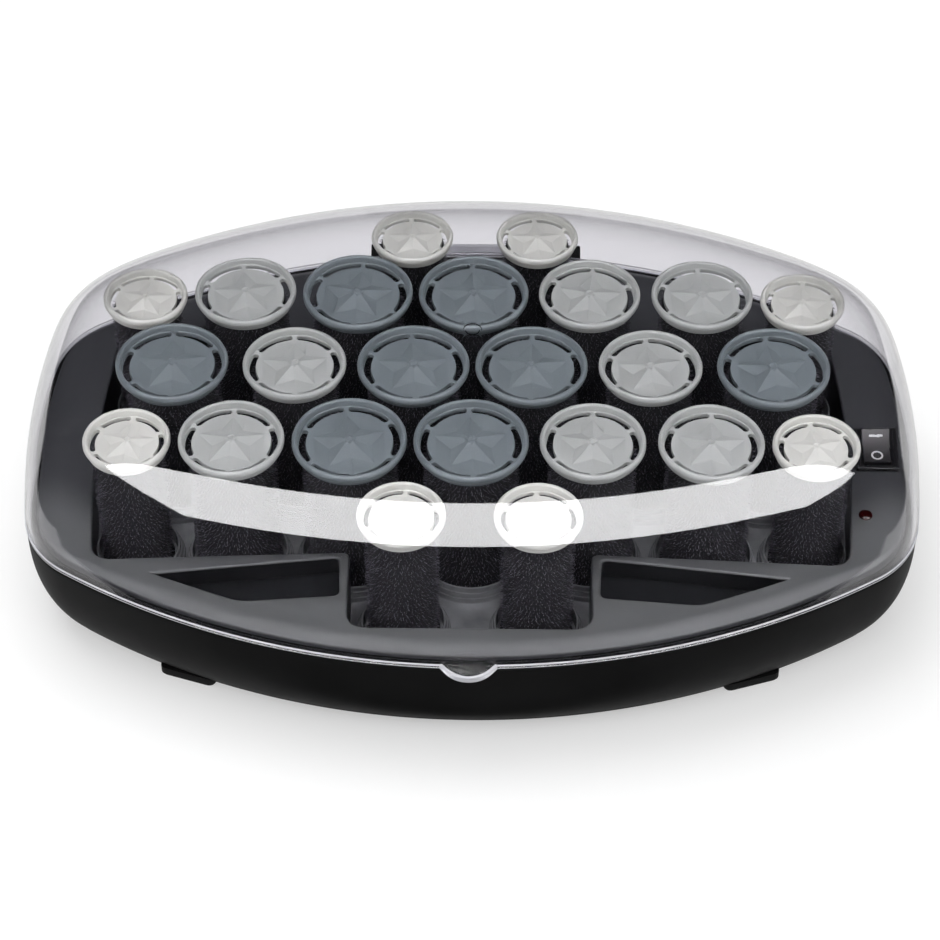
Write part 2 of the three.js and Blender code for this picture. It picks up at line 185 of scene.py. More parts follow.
def make_object(name, body, materials, angle=35.0):
    """A Body as a smooth-shaded object in metres, with its normals outwards."""
    mesh = bpy.data.meshes.new(name)
    mesh.from_pydata([(x * MM, y * MM, z * MM) for x, y, z in body.points], [], body.faces)
    for material in materials:
        mesh.materials.append(material)
    mesh.polygons.foreach_set("material_index", body.slots)
    edit = bmesh.new()
    edit.from_mesh(mesh)
    bmesh.ops.recalc_face_normals(edit, faces=edit.faces)
    edit.to_mesh(mesh)
    edit.free()
    mesh.shade_smooth()
    mesh.set_sharp_from_angle(angle=math.radians(angle))
    return add_object(name, mesh)


def apply_modifiers(made):
    """Bakes an object's modifiers into its mesh."""
    graph = bpy.context.evaluated_depsgraph_get()
    mesh = bpy.data.meshes.new_from_object(made.evaluated_get(graph), depsgraph=graph)
    made.modifiers.clear()
    made.data = mesh


def combine(made, others, operation, angle=35.0):
    """Joins others to made, or cuts them out of it, and deletes them."""
    for other in others:
        step = made.modifiers.new("combine", "BOOLEAN")
        step.operation = operation
        step.object = other
        step.solver = "EXACT"
    apply_modifiers(made)
    for other in others:
        bpy.data.objects.remove(other)
    made.data.shade_smooth()
    made.data.set_sharp_from_angle(angle=math.radians(angle))


def weigh_normals(made):
    """Keeps large flat faces flat beside their rounded edges."""
    step = made.modifiers.new("weighted", "WEIGHTED_NORMAL")
    step.keep_sharp = True
    step.weight = 80


def place(made, body, slot, *nodes):
    """The piece rides on a body and stands for these CAD nodes. The slot argument is not used."""
    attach(made, body)
    if nodes:
        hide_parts(*nodes)


def polar(radius, angle, center=(0, 0)):
    """The point at a radius and an angle from a center."""
    return center[0] + radius * math.cos(angle), center[1] + radius * math.sin(angle)


def full_turn(sides):
    return [2 * math.pi * i / sides for i in range(sides)]


def stack(body, outline, levels):
    """Rings of an outline, one for each pair of how far it is moved and how high it lies."""
    return [body.ring(outline(offset), z) for offset, z in levels]


def arc(center, radius, start, end, steps):
    angles = np.linspace(start, end, steps, endpoint=False)
    return np.stack([center[0] + radius * np.cos(angles), center[1] + radius * np.sin(angles)], 1)


def plan_outline(inset):
    """The base's plan outline moved inwards, with the same number of points at every inset."""
    side_center = (HALF_WIDTH - SIDE_ARC, 0.0)
    front_center = (0.0, HALF_DEPTH - FRONT_ARC)
    shrink = math.exp(-inset / (CORNER_ARC - CORNER_LEAST))
    corner = CORNER_LEAST + (CORNER_ARC - CORNER_LEAST) * shrink
    side_reach = SIDE_ARC - inset - corner
    front_reach = FRONT_ARC - inset - corner
    span = math.hypot(side_center[0], front_center[1])
    along = (side_reach**2 - front_reach**2 + span**2) / (2 * span)
    across = math.sqrt(side_reach**2 - along**2)
    ux, uy = -side_center[0] / span, front_center[1] / span
    center = (side_center[0] + ux * along - uy * across, uy * along + ux * across)
    start = math.atan2(center[1], center[0] - side_center[0])
    end = math.atan2(center[1] - front_center[1], center[0])
    quarter = np.concatenate([
        arc(side_center, SIDE_ARC - inset, 0.0, start, ARC_STEPS[0]),
        arc(center, corner, start, end, ARC_STEPS[1]),
        arc(front_center, FRONT_ARC - inset, end, math.pi / 2, ARC_STEPS[2]),
    ])
    top = np.array([[0.0, HALF_DEPTH - inset]])
    half = np.concatenate([quarter, top, quarter[:0:-1] * [-1, 1]])
    return np.concatenate([half, -half])


def rounded(corners, steps=10):
    """A closed outline through corners of x, y and the length that each one's curve takes off its sides."""
    points = []
    for i, (x, y, reach) in enumerate(corners):
        tip = Vector((x, y))
        sides = []
        for nx, ny, _ in (corners[i - 1], corners[(i + 1) % len(corners)]):
            way = Vector((nx, ny)) - tip
            sides.append(tip + way * (reach / way.length))
        for k in range(steps + 1):
            t = k / steps
            points.append(sides[0] * (1 - t) ** 2 + tip * (2 * t * (1 - t)) + sides[1] * t**2)
    return [(p.x, p.y) for p in points]


def rectangle(center, width, depth, corner, steps=6):
    x, y = width / 2, depth / 2
    corners = [(x, -y, corner), (x, y, corner), (-x, y, corner), (-x, -y, corner)]
    return [(center[0] + px, center[1] + py) for px, py in rounded(corners, steps)]


def circle(center, radius, sides):
    return [polar(radius, a, center) for a in full_turn(sides)]


def edge_steps(radius, steps=4):
    """(how far in, how far down) along a rounded edge, from the flat top to the side."""
    angles = [math.pi / 2 * k / steps for k in range(steps + 1)]
    return [(radius * (1 - math.sin(a)), radius * (1 - math.cos(a))) for a in angles]


# --- Materials ---
def material(name):
    made = bpy.data.materials.new(name)
    made.use_nodes = True
    nodes = made.node_tree.nodes
    return made, made.node_tree, nodes["Principled BSDF"]


def join(tree, value, socket):
    """Links an output to a socket, or sets a plain number or colour on it."""
    if isinstance(value, bpy.types.NodeSocket):
        tree.links.new(value, socket)
    else:
        socket.default_value = value


def feed(tree, target, **values):
    for name, value in values.items():
        join(tree, value, target.inputs[name.replace("_", " ")])


def node(tree, kind, **inputs):
    made = tree.nodes.new(kind)
    feed(tree, made, **inputs)
    return made


def coordinates(tree):
    return tree.nodes.new("ShaderNodeTexCoord").outputs["Object"]


def axes(tree):
    """A point's X and Y, in metres."""
    split = node(tree, "ShaderNodeSeparateXYZ", Vector=coordinates(tree))
    return split.outputs["X"], split.outputs["Y"]


def noise(tree, scale, detail=3.0, roughness=0.5):
    made = node(tree, "ShaderNodeTexNoise", Scale=scale, Detail=detail, Roughness=roughness)
    feed(tree, made, Vector=coordinates(tree))
    return made.outputs["Fac"]


def ramp(tree, source, stops):
    """A colour ramp of (position, colour) stops over a 0 to 1 value."""
    made = tree.nodes.new("ShaderNodeValToRGB")
    points = made.color_ramp.elements
    for element, (position, colour) in zip(points, stops):
        element.position, element.color = position, (*colour, 1)
    for position, colour in stops[2:]:
        points.new(position).color = (*colour, 1)
    tree.links.new(source, made.inputs["Fac"])
    return made.outputs["Color"]


def math_node(tree, operation, *inputs, clamp=True):
    """A math node on links or plain numbers, clamped to 0 to 1 unless clamp is off."""
    made = tree.nodes.new("ShaderNodeMath")
    made.operation = operation
    made.use_clamp = clamp
    for socket, value in zip(made.inputs, inputs):
        join(tree, value, socket)
    return made.outputs[0]


def clouds(tree, source, dark, light):
    return ramp(tree, source, [(0.3, dark), (0.7, light)])


def mix_surface(tree, share, shader, other):
    """Makes the surface of shader, and of as much of other as share says."""
    mix = tree.nodes.new("ShaderNodeMixShader")
    for source, socket in zip((share, shader.outputs[0], other.outputs[0]), mix.inputs):
        join(tree, source, socket)
    feed(tree, tree.nodes["Material Output"], Surface=mix.outputs[0])


def scaled(tree, source, lowest, highest, start=0.0, end=1.0, interpolation="LINEAR"):
    """Maps start to end onto lowest to highest."""
    made = node(tree, "ShaderNodeMapRange", From_Min=start, From_Max=end, To_Min=lowest, To_Max=highest)
    made.interpolation_type = interpolation
    feed(tree, made, Value=source)
    return made.outputs["Result"]


def bump(tree, shader, source, strength, distance):
    made = node(tree, "ShaderNodeBump", Height=source, Strength=strength, Distance=distance)
    feed(tree, shader, Normal=made.outputs["Normal"])


def grey(value):
    return (value, value, value)


def moulded_plastic(name, colour, roughness, grain=2600.0, grain_strength=0.25, spread=0.12, specular=0.5):
    """Moulded plastic: slow drifts of tone, a fine grain in the surface and a gloss that isn't quite even."""
    made, tree, shader = material(name)
    darker = tuple(c * (1 - spread) for c in colour)
    lighter = tuple(min(1.0, c * (1 + spread)) for c in colour)
    feed(
        tree,
        shader,
        Base_Color=clouds(tree, noise(tree, 28.0, 4.0), darker, lighter),
        Roughness=scaled(tree, noise(tree, 90.0, 5.0), roughness - 0.06, roughness + 0.08),
        Specular_IOR_Level=specular,
    )
    bump(tree, shader, noise(tree, grain, 2.0), grain_strength, 0.00004)
    return made


def deck_plastic_with_painted_light():
    """The deck's cover: grained grey, with painted light: coloured lighter over the front plateau for the
    light there, and over its front corners for the lid's reflection.
    """
    made, tree, shader = material("deck_cover_grey_painted_light")
    x, y = axes(tree)
    # Painted reflection: towards the sides the lighter zone reaches further back, so the front corners are
    # coloured lighter for the lid's reflection there.
    corner = scaled(tree, math_node(tree, "ABSOLUTE", x, clamp=False), 0.0, -0.034, 0.11, 0.155)
    reach = math_node(tree, "ADD", y, corner, clamp=False)
    # Painted light: the colour goes from dark grey at the back and sides to lighter grey over the front
    # plateau.
    painted_front_light = scaled(tree, reach, 0.0, 1.0, -0.052, -0.078, "SMOOTHSTEP")
    tone_and_painted_light = math_node(tree, "MULTIPLY_ADD", noise(tree, 14.0), 0.08, painted_front_light, clamp=False)
    feed(
        tree,
        shader,
        Base_Color=ramp(tree, tone_and_painted_light, [(0.03, (0.033, 0.034, 0.037)), (1.0, (0.089, 0.0915, 0.093))]),
        Roughness=scaled(tree, noise(tree, 120.0, 4.0), 0.38, 0.5),
    )
    bump(tree, shader, noise(tree, 2400.0, 2.0), 0.08, 0.00004)
    return made


def clear_plastic():
    """Clear moulded plastic with a faint cool tint. Lamps reach what is behind it."""
    made, tree, shader = material("clear_lid")
    feed(
        tree,
        shader,
        Base_Color=(0.895, 0.89, 0.91, 1),
        Transmission_Weight=1.0,
        IOR=1.5,
        Roughness=scaled(tree, noise(tree, 40.0, 4.0), 0.0, 0.035),
    )
    passing = node(tree, "ShaderNodeBsdfTransparent", Color=(0.9, 0.9, 0.93, 1))
    light = tree.nodes.new("ShaderNodeLightPath")
    mix_surface(tree, light.outputs["Is Shadow Ray"], shader, passing)
    return made


def clear_edge():
    """The lid's rim, where light that runs inside the wall comes out."""
    made, tree, shader = material("clear_edge")
    glow = clouds(tree, noise(tree, 60.0), (0.74, 0.74, 0.79), (0.88, 0.88, 0.93))
    feed(tree, shader, Base_Color=glow, Roughness=0.25, Transmission_Weight=0.25)
    return made


def clear_block():
    """The thick part of the lid at the hinge, frosted by its tooling."""
    made, tree, shader = material("clear_block")
    tone = clouds(tree, noise(tree, 80.0), (0.72, 0.72, 0.76), (0.82, 0.82, 0.86))
    uneven = scaled(tree, noise(tree, 60.0), 0.3, 0.42)
    feed(tree, shader, Base_Color=tone, Roughness=uneven, Transmission_Weight=0.8)
    return made


def fibre(name, dark, light, roughness):
    """Black nylon fibre, lighter in places."""
    made, tree, shader = material(name)
    tone = ramp(tree, noise(tree, 900.0, 2.0), [(0.42, dark), (0.72, light)])
    uneven = scaled(tree, noise(tree, 700.0, 2.0), roughness - 0.1, roughness + 0.1)
    feed(tree, shader, Base_Color=tone, Roughness=uneven)
    return made


def heater_metal():
    """The heated floor: dark coated metal with a satin gloss and a few cloudy marks."""
    made, tree, shader = material("heater_dark")
    tone = clouds(tree, noise(tree, 60.0, 6.0, 0.6), (0.17, 0.175, 0.182), (0.3, 0.305, 0.315))
    uneven = scaled(tree, noise(tree, 220.0, 5.0), 0.08, 0.2)
    feed(tree, shader, Base_Color=tone, Roughness=uneven, Metallic=0.25)
    bump(tree, shader, noise(tree, 900.0), 0.2, 0.00005)
    return made


def metal(name, colour, roughness, grain):
    """Bare metal with fine drawn lines."""
    made, tree, shader = material(name)
    stretch = node(tree, "ShaderNodeMapping", Vector=coordinates(tree), Scale=(0.06, 1.0, 1.0))
    drawn = node(tree, "ShaderNodeTexNoise", Vector=stretch.outputs["Vector"], Scale=grain, Detail=4.0)
    lines = drawn.outputs["Fac"]
    tone = clouds(tree, lines, tuple(c * 0.75 for c in colour), colour)
    uneven = scaled(tree, lines, roughness - 0.08, roughness + 0.12)
    feed(tree, shader, Base_Color=tone, Roughness=uneven, Metallic=1.0)
    bump(tree, shader, lines, 0.15, 0.00005)
    return made


def paddle_plastic_with_painted_highlight():
    """The switch's paddle: smoky grey, with a painted highlight that makes it paler towards the raised end,
    where the front softbox is mirrored.
    """
    made, tree, shader = material("rocker_black")
    middle_y = SWITCH.y * MM
    # Painted highlight: the colour grows paler along the paddle towards its raised end, for the front
    # softbox's reflection there.
    along = scaled(tree, axes(tree)[1], 0.0, 1.0, middle_y - 0.0045, middle_y + 0.0075)
    tone_and_painted_light = math_node(tree, "MULTIPLY_ADD", noise(tree, 320.0), 0.12, along, clamp=False)
    tone = ramp(tree, tone_and_painted_light, [(0.05, (0.02, 0.019, 0.02)), (1.0, (0.15, 0.145, 0.148))])
    feed(tree, shader, Base_Color=tone, Roughness=scaled(tree, noise(tree, 90.0, 5.0), 0.3, 0.42))
    bump(tree, shader, noise(tree, 2600.0, 2.0), 0.1, 0.00004)
    return made


def lens_plastic():
    made, tree, shader = material("lens_red")
    cells = node(tree, "ShaderNodeTexVoronoi", Vector=coordinates(tree), Scale=1500.0).outputs["Distance"]
    tone = ramp(tree, cells, [(0.1, (0.009, 0.0006, 0.0006)), (0.8, (0.018, 0.001, 0.001))])
    feed(tree, shader, Base_Color=tone, Roughness=0.12, Specular_IOR_Level=0.3)
    bump(tree, shader, cells, 0.2, 0.0001)
    return made


SHELL = moulded_plastic(
    "shell_black", (0.0095, 0.0095, 0.0098), 0.5, spread=0.2, grain_strength=0.35, specular=0.05
)
COVER_WITH_PAINTED_LIGHT = deck_plastic_with_painted_light()
WELL_BLACK = moulded_plastic("well_black", (0.009, 0.0095, 0.0105), 0.36, spread=0.2, specular=0.3)
SKIRT = moulded_plastic("deck_skirt", (0.055, 0.056, 0.061), 0.42, spread=0.15, specular=0.3)
CLEAR = clear_plastic()
CLEAR_EDGE = clear_edge()
CLEAR_BLOCK = clear_block()
FLOCK = fibre("flock_black", (0.004, 0.004, 0.005), (0.012, 0.012, 0.015), 0.7)
HOOK = fibre("flock_hooks", (0.006, 0.006, 0.008), (0.2, 0.19, 0.23), 0.35)
HEATER = heater_metal()
STEEL = metal("pin_steel", (0.6, 0.6, 0.62), 0.3, 800.0)
ELEMENT = metal("element_steel", (0.42, 0.4, 0.38), 0.4, 500.0)
THERMOSTAT = metal("thermostat_metal", (0.55, 0.53, 0.5), 0.35, 600.0)
TERMINAL = moulded_plastic("terminal_plastic", (0.35, 0.33, 0.28), 0.5)
SWITCH_BLACK = moulded_plastic("switch_black", (0.008, 0.008, 0.009), 0.28, grain_strength=0.1)
ROCKER_BLACK_WITH_PAINTED_HIGHLIGHT = paddle_plastic_with_painted_highlight()
MARK_WHITE = moulded_plastic("mark_white", (0.75, 0.75, 0.75), 0.45, grain_strength=0.1, spread=0.04)
LENS_RED = lens_plastic()
RUBBER = moulded_plastic("gland_rubber", (0.012, 0.012, 0.012), 0.65, grain=1800.0, grain_strength=0.4)
CAPS = {}
for size_name, cap_name, cap_colour in (
    ("large", "cap_slate", (0.135, 0.158, 0.168)),
    ("medium", "cap_grey", (0.355, 0.365, 0.35)),
    ("small", "cap_white", (0.54, 0.54, 0.5)),
):
    cap_finish = moulded_plastic(cap_name, cap_colour, 0.42, grain=900.0, spread=0.03, grain_strength=0.04)
    CAPS[size_name] = (cap_name, cap_finish)


# --- Lid ---
def softened(outline, spread):
    """A closed outline whose curvature changes slowly, averaged over spread along it."""
    if spread < 0.5:
        return outline
    steps = np.linalg.norm(np.roll(outline, -1, 0) - outline, axis=1)
    place_along = np.concatenate([[0.0], np.cumsum(steps)[:-1]])
    total = steps.sum()
    apart = np.abs(place_along[:, None] - place_along[None])
    apart = np.minimum(apart, total - apart)
    weights = np.exp(-0.5 * (apart / spread) ** 2) * (steps + np.roll(steps, 1))[None]
    return weights @ outline / weights.sum(1, keepdims=True)


def lid_surface(body, wall, shoulder_steps=40, crown_steps=16):
    """Rings of one of the lid's two surfaces, from its foot to just before the middle of the crown."""
    base = RIM_Z + GAP
    rise, reach = LID_RISE - wall, LID_SHOULDER - wall
    rings = []
    for i in range(shoulder_steps + 1):
        angle = math.pi / 2 * i / shoulder_steps
        outline = plan_outline(wall + reach * (1 - math.cos(angle)))
        outline = softened(outline, LID_SOFTNESS * math.sin(angle) ** 1.5)
        rings.append((outline, base + rise * math.sin(angle)))
    edge, edge_z = rings[-1]
    for i in range(1, crown_steps):
        share = 1 - i / crown_steps
        rings.append((edge * share, edge_z + LID_CROWN * (1 - share**2) ** 2))
    return [body.ring(outline, z) for outline, z in rings], edge_z + LID_CROWN


def gate_mark(body, ring, top):
    """Closes the crown with the small round mark that moulding leaves in its middle."""
    angles = [math.atan2(body.points[i][1], body.points[i][0]) for i in ring]
    rings = [ring]
    for radius, depth in ((4.2, 0.0), (3.5, 0.0), (3.3, 0.35), (2.7, 0.35), (2.5, 0.0), (1.0, 0.0)):
        rings.append(body.ring([polar(radius, a) for a in angles], top - depth))
    body.skin(rings)
    body.fan(rings[-1], (0, 0, top))


def lid():
    body = Body()
    outside, top = lid_surface(body, 0.0)
    inside, inner_top = lid_surface(body, LID_WALL)
    base = RIM_Z + GAP
    # Two low beads run round the foot of the wall.
    bead = [(0.0, base + 2.1), (-0.25, base + 1.9), (-0.3, base + 1.35), (0.0, base + 1.2)]
    bead += [(0.0, base + 0.85), (-0.25, base + 0.7), (-0.25, base + 0.3), (0.1, base)]
    bead_rings = stack(body, plan_outline, bead)
    foot = stack(body, plan_outline, ((LID_WALL - 0.35, base), (LID_WALL, base + 0.35)))
    first_above = next(i for i, ring in enumerate(outside) if body.points[ring[0]][2] > base + 2.4)
    body.skin([*reversed(outside[first_above:]), bead_rings[0]])
    for i, pair in enumerate(zip(bead_rings, [*bead_rings[1:], foot[0]])):
        body.skin(pair, 0 if i in (2, 3, 4, 7) else 1)
    body.skin([*foot, *inside[1:]])
    gate_mark(body, outside[-1], top)
    body.fan(inside[-1], (0, 0, inner_top))
    made = make_object("lid_clear", body, [CLEAR, CLEAR_EDGE, CLEAR_BLOCK])
    combine(made, [lid_tab(base), lid_knuckle(base)], "UNION", 30.0)
    combine(made, [hinge_rod(-EAR[0], EAR[0], HINGE_BORE, "lid_bore")], "DIFFERENCE", 30.0)
    place(made, "lid", "clear_lid", "lid")


def slab(name, outer, holes, bottom, top, edge, materials, side_slot=0):
    """A plate with rounded upper edges. outer and each hole give an outline moved outwards by a distance."""
    body = Body()
    steps = edge_steps(edge)
    rim = [body.ring(outer(-inwards), top - down) for inwards, down in steps]
    foot = body.ring(outer(0), bottom)
    body.skin([*rim, foot], side_slot)
    tops, bottoms = [], []
    for hole in holes:
        lip = [body.ring(hole(inwards), top - down) for inwards, down in steps]
        end = body.ring(hole(0), bottom)
        body.skin([*lip, end])
        tops.append(lip[0])
        bottoms.append(end)
    body.plate(rim[0], tops)
    body.plate(foot, bottoms)
    return make_object(name, body, materials)


def lid_tab(base):
    """The finger tab at the front, a thin lens-shaped plate."""
    half, reach = TAB["half_width"], TAB["reach"]

    def outline(grow):
        return rounded([
            (-half - 3 - grow, 1.2 - HALF_DEPTH, 1),
            (-half + 3 - grow, -reach - grow, 5.5),
            (half - 3 + grow, -reach - grow, 5.5),
            (half + 3 + grow, 1.2 - HALF_DEPTH, 1),
        ])

    return slab("lid_tab", outline, [], base, base + TAB["thickness"], 0.8, [CLEAR, CLEAR_EDGE], 1)


def hinge_nose(start, steps):
    """The round of the hinge in y and z, from an angle to straight up."""
    return [polar(HINGE_RADIUS, a, (HINGE_Y, HINGE_Z)) for a in np.linspace(start, math.pi / 2, steps)]


def along_hinge(name, outline, start, end, edge, materials, slot=0):
    """A closed outline in y and z pushed out along X, with rounded ends."""
    body = Body()
    center = np.mean(outline, axis=0)
    shape = np.array(outline)
    reach = np.abs(shape - center).max()
    steps = edge_steps(edge)
    levels = [(inwards, start + down) for inwards, down in steps]
    levels += [(inwards, end - down) for inwards, down in reversed(steps)]
    rings = []
    for inwards, x in levels:
        points = center + (shape - center) * (1 - inwards / reach)
        rings.append(body.ring([(x, y, z) for y, z in points]))
    body.close(rings, slot)
    return make_object(name, body, materials)


def hinge_rod(start, end, radius, name, edge=0.01):
    return along_hinge(name, circle((HINGE_Y, HINGE_Z), radius, 32), start, end, edge, [SHELL])


def lid_knuckle(base):
    half = EAR[0] - 2 * GAP
    top = HINGE_Z + HINGE_RADIUS
    outline = [*hinge_nose(-math.pi, 30), (HALF_DEPTH - 1, top), (HALF_DEPTH - 1, base)]
    return along_hinge("lid_knuckle", outline, -half, half, 0.3, [CLEAR, CLEAR_EDGE, CLEAR_BLOCK], 2)


# --- Base shell ---
def base_shell():
    body = Body()
    floor = FOOT_HEIGHT + 2.5

    def side(z):
        return BASE_INSET * (1 - (z - FOOT_HEIGHT) / (RIM_Z - FOOT_HEIGHT)) ** 3

    outer = [(inwards, RIM_Z - down) for inwards, down in edge_steps(1.1)]
    outer += [(side(z), z) for z in np.linspace(RIM_Z - 2.5, FOOT_HEIGHT + 1.2, 26)]
    outer += [(BASE_INSET - 0.6, FOOT_HEIGHT + 0.35), (BASE_INSET + 1.2, FOOT_HEIGHT)]
    inner = [(7.5, RIM_Z), (7.5, RIM_Z - 3.0), (3.2, RIM_Z - 3.0)]
    inner += [(3.2 + side(z) * 0.85, z) for z in np.linspace(RIM_Z - 4, floor + 1.0, 12)]
    inner.append((BASE_INSET + 2.0, floor))
    outer_rings = stack(body, plan_outline, outer)
    inner_rings = stack(body, plan_outline, inner)
    body.skin([*reversed(outer_rings), *inner_rings])
    body.fan(outer_rings[-1], (0, 0, FOOT_HEIGHT))
    body.fan(inner_rings[-1], (0, 0, floor))
    made = make_object("base_tub", body, [SHELL], 50.0)
    feet = [base_foot(sx, sy) for sx in (-1, 1) for sy in (-1, 1)]
    ears = [base_ear(side_sign) for side_sign in (-1, 1)]
    combine(made, feet + ears, "UNION", 40.0)
    gland_hole = Body()
    gland_hole.turned([(0, -40), (5.4, -40), (5.4, 40), (0, 40)], sides=32)
    hole = make_object("gland_hole", gland_hole, [SHELL])
    hole.rotation_euler.x = math.pi / 2
    hole.location = (GLAND.x * MM, HALF_DEPTH * MM, GLAND.z * MM)
    bore = hinge_rod(-EAR[1] - 1, EAR[1] + 1, HINGE_BORE, "ear_bore")
    bpy.context.view_layer.update()
    combine(made, [hole, bore], "DIFFERENCE", 40.0)
    place(made, "base", "shell_black", "base_shell")


def base_foot(sx, sy):
    """A moulded foot whose long side follows the base's edge."""
    angle = -sx * sy * FOOT["turn"]
    across, along = math.cos(angle), math.sin(angle)
    x, y = sx * FOOT["x"], sy * FOOT["y"]
    body = Body()
    rings = []
    for grow, z in ((-0.8, 0.0), (-0.25, 0.2), (0.0, 0.7), (0.0, FOOT_HEIGHT + 1.0)):
        flat = rectangle((0, 0), FOOT["width"] + 2 * grow, FOOT["depth"] + 2 * grow, 3.0)
        turned = [(x + px * across - py * along, y + px * along + py * across) for px, py in flat]
        rings.append(body.ring(turned, z))
    body.close(rings)
    return make_object("foot", body, [SHELL])


def base_ear(side):
    """An ear that carries one end of the lid's hinge."""
    start, end = sorted((side * EAR[0], side * EAR[1]))
    foot = [(HINGE_Y - 6, HINGE_Z + 0.4), (HINGE_Y - 9, HINGE_Z - 1), (HINGE_Y - 9, HINGE_Z - 4.6)]
    return along_hinge("ear", hinge_nose(-math.pi / 2, 24) + foot, start, end, 0.5, [SHELL])


# --- Deck ---
def well_outline(grow):
    """The well with its notches at the front and back, moved outwards by grow."""
    w, n = WELL, NOTCH
    quarter = [
        (w["x_end"] + grow, w["y_end"] + grow, w["corner"] + grow),
        (n["x"] + grow, w["y_middle"] + grow, max(n["inner"] - grow, 0.5)),
        (n["x"] + grow, n["y"] + grow, n["corner"] + grow),
    ]
    back = [(w["x_middle"] + grow, 0.0, w["side"]), *quarter]
    half = [*back, *[(-x, y, r) for x, y, r in reversed(quarter)]]
    return rounded([*half, *[(-x, -y, r) for x, y, r in half]])


def pocket_outline(side, grow):
    center_x, center_y = 83.0, -73.0
    corners = [
        (side * (x + math.copysign(grow, x - center_x)), y + math.copysign(grow, y - center_y), r)
        for x, y, r in POCKET
    ]
    return rounded(corners if side > 0 else corners[::-1])


def deck_rim(share, inwards=DECK_EDGE, down=0.0):
    """The deck's edge, which falls away a little at the front and back. share is 1 where the fall starts."""
    edge = plan_outline(DECK_INSET + inwards)
    near = plan_outline(DECK_INSET + inwards + 0.3)
    far = plan_outline(DECK_INSET + inwards + 5.0)
    weight = np.clip((np.abs(edge[:, 1:]) - 50) / 35, 0, 1)
    weight = weight**2 * (3 - 2 * weight)
    start = near * (1 - weight) + far * weight
    line = edge * (1 - share) + start * share
    return np.concatenate([line, DECK_Z - down - DECK_FALL * weight * (1 - share) ** 2], 1)


def deck():
    body = Body()
    grey_slot, black_slot, skirt_slot = 0, 1, 2
    foot = RIM_Z + GAP
    under = DECK_Z - 2.3
    steps = edge_steps(DECK_EDGE)
    # The cover's outer edge and skirt.
    rim = [body.ring(deck_rim(share)) for share in (1.0, 0.75, 0.5, 0.25)]
    rim += [body.ring(deck_rim(0.0, inwards, down)) for inwards, down in steps]
    inside = DECK_INSET + 2.3
    skirt = [rim[-1], *stack(body, plan_outline, ((DECK_INSET, foot), (inside, foot), (inside, under)))]
    body.skin(rim, grey_slot)
    body.skin(skirt, skirt_slot)
    # The well's wall, open at its foot.
    edge = [(inwards, DECK_Z - down) for inwards, down in steps]
    lip = stack(body, well_outline, edge)
    wall_foot = PLATE_Z + GAP
    wall = [lip[-1], *stack(body, well_outline, ((0, wall_foot), (DECK_WALL, wall_foot), (DECK_WALL, under)))]
    body.skin(lip, grey_slot)
    body.skin(wall, black_slot)
    tops, bottoms = [lip[0]], [wall[-1]]
    # Two clip pockets, closed at the bottom, with a fillet round the floor.
    floor = DECK_Z - POCKET_DEPTH
    for side in (-1, 1):
        def outline(grow):
            return pocket_outline(side, grow)

        lip = stack(body, outline, edge)
        inner = [lip[-1], *stack(body, outline, ((-0.5, floor + 0.9), (-0.75, floor + 0.3), (-1.4, floor)))]
        outer = stack(body, outline, ((DECK_WALL, under), (DECK_WALL, floor - DECK_WALL)))
        body.skin(lip, grey_slot)
        for rings in (inner, outer):
            body.skin(rings, black_slot)
        for rings in (inner, outer):
            body.plate(rings[-1], slot=black_slot)
        tops.append(lip[0])
        bottoms.append(outer[0])
    # Holes for the switch and the lens.
    for outline in (rectangle(SWITCH, 13.6, 19.2, 0.6), circle(LENS, 2.3, 32)):
        upper, lower = body.ring(outline, DECK_Z), body.ring(outline, under)
        body.bridge(upper, lower, grey_slot)
        tops.append(upper)
        bottoms.append(lower)
    body.plate(rim[0], tops, grey_slot)
    body.plate(skirt[-1], bottoms, black_slot)
    made = make_object("deck_cover", body, [COVER_WITH_PAINTED_LIGHT, WELL_BLACK, SKIRT])
    weigh_normals(made)
    place(made, "base", "deck_grey", "deck")


# --- Rollers ---
def roller_size(number):
    """(name of the size, radius over the cap) of a roller."""
    node_name = f"roller_cap_{number}"
    radius = (high(node_name).x - low(node_name).x) / 2
    if radius > 20:
        return "large", radius
    return ("medium", radius) if radius > 18 else ("small", radius)


def slot_outline(middle_radius, half_width, half_angle, turn, steps=14):
    """A curved slot round the cap's disc, with round ends."""
    angles = [turn - half_angle + 2 * half_angle * i / steps for i in range(steps + 1)]

    def end(angle, first):
        center = polar(middle_radius, angle)
        return [polar(half_width, angle + first + math.pi * k / 8, center) for k in range(1, 8)]

    return [
        *[polar(middle_radius + half_width, a) for a in angles],
        *end(angles[-1], 0),
        *[polar(middle_radius - half_width, a) for a in reversed(angles)],
        *end(angles[0], math.pi),
    ]


def star_radius(angle, tip, notch):
    """Radius of a five-pointed star's outline at an angle."""
    sector = math.pi / 5
    local = abs((angle + sector) % (2 * sector) - sector)
    across = tip * notch * math.sin(sector)
    return across / (notch * math.sin(sector - local) + tip * math.sin(local))


